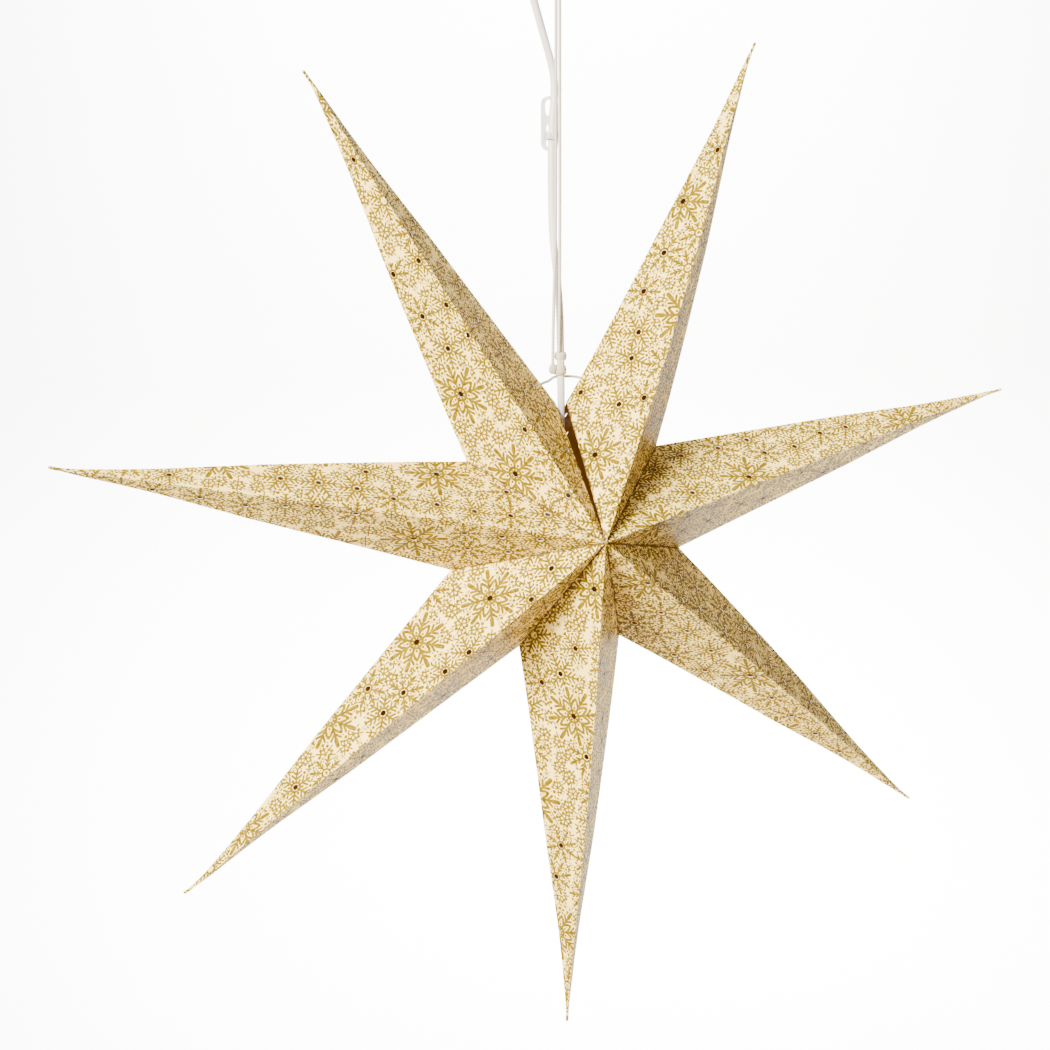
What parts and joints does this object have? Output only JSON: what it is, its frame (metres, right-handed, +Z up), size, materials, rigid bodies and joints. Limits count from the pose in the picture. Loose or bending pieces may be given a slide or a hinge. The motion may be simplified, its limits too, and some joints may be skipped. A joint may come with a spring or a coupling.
{
  "type": "paper star pendant",
  "caption": "Folded white card star pendant with gold snowflake print, hung by a doubled string round a lamp lead, with a small screw bulb inside and a plug on the coiled lead.",
  "frame": {"origin": "where the string's top loop rests on its hook", "axes": "+Z up, +X to the right as seen from the front, the star's front faces -Y"},
  "size_m": [0.7052, 0.15, 0.8857],
  "materials": {
    "printed_card": "matte white card with a gold print, brown inside",
    "white_string": "braided, matte",
    "white_pvc_lead": "smooth, semi-gloss",
    "white_plastic": "semi-gloss",
    "strap_plastic": "matte",
    "nickel_pins": "bright",
    "milky_plastic": "translucent, milky",
    "block_ceramic": "matte",
    "brass": "bright",
    "brown_core": "semi-gloss",
    "blue_core": "semi-gloss",
    "black_glass": "gloss",
    "solder": "satin",
    "clear_glass": "gloss",
    "filament": "matte"
  },
  "bodies": {
    "loop": {"hanging_loop": "white_string", "loop_knot": "white_string"},
    "pendant": {"string_strand_left": "white_string", "string_strand_right": "white_string", "ring_knot": "white_string", "main_knot": "white_string", "lead": "white_pvc_lead", "lead_coil": "white_pvc_lead", "coil_strap": "strap_plastic", "lead_tail": "white_pvc_lead", "plug_body": "white_plastic", "plug_pins": "nickel_pins", "holder_cap": "white_plastic", "holder_shell": "white_plastic", "contact_block": "block_ceramic", "screw_sleeve": "brass", "centre_contact": "brass", "terminal_screws": "brass", "cord_grip": "white_plastic", "live_core": "brown_core", "neutral_core": "blue_core"},
    "star": {"star_point_1": "printed_card", "star_point_2": "printed_card", "star_point_3": "printed_card", "star_point_4": "printed_card", "star_point_5": "printed_card", "star_point_6": "printed_card", "star_point_7": "printed_card", "tie_string": "white_string", "stop_knot_left": "white_string", "stop_knot_right": "white_string"},
    "clip": {"hanger_clip": "milky_plastic"},
    "bulb": {"bulb_cap": "brass", "bulb_insulator": "black_glass", "bulb_tip": "solder", "bulb_glass": "clear_glass", "bulb_stem": "clear_glass", "bulb_filaments": "filament"}
  },
  "joints": [
    {"name": "swing_sideways", "type": "hinge", "parent": "loop", "child": "pendant", "pos_m": [0, 0, -0.026], "axis": [0, 1, 0], "range_deg": [-30, 30]},
    {"name": "star_turn", "type": "hinge", "parent": "pendant", "child": "star", "pos_m": [0.0025, 0, -0.5], "axis": [0, 0, 1], "range_deg": [-180, 180]},
    {"name": "clip_slide", "type": "slide", "parent": "pendant", "child": "clip", "axis": [0, 0, 1], "range_m": [-0.03, 0]},
    {"name": "bulb_unscrew", "type": "slide", "parent": "pendant", "child": "bulb", "axis": [0, 0, 1], "range_m": [-0.03, 0]}
  ]
}
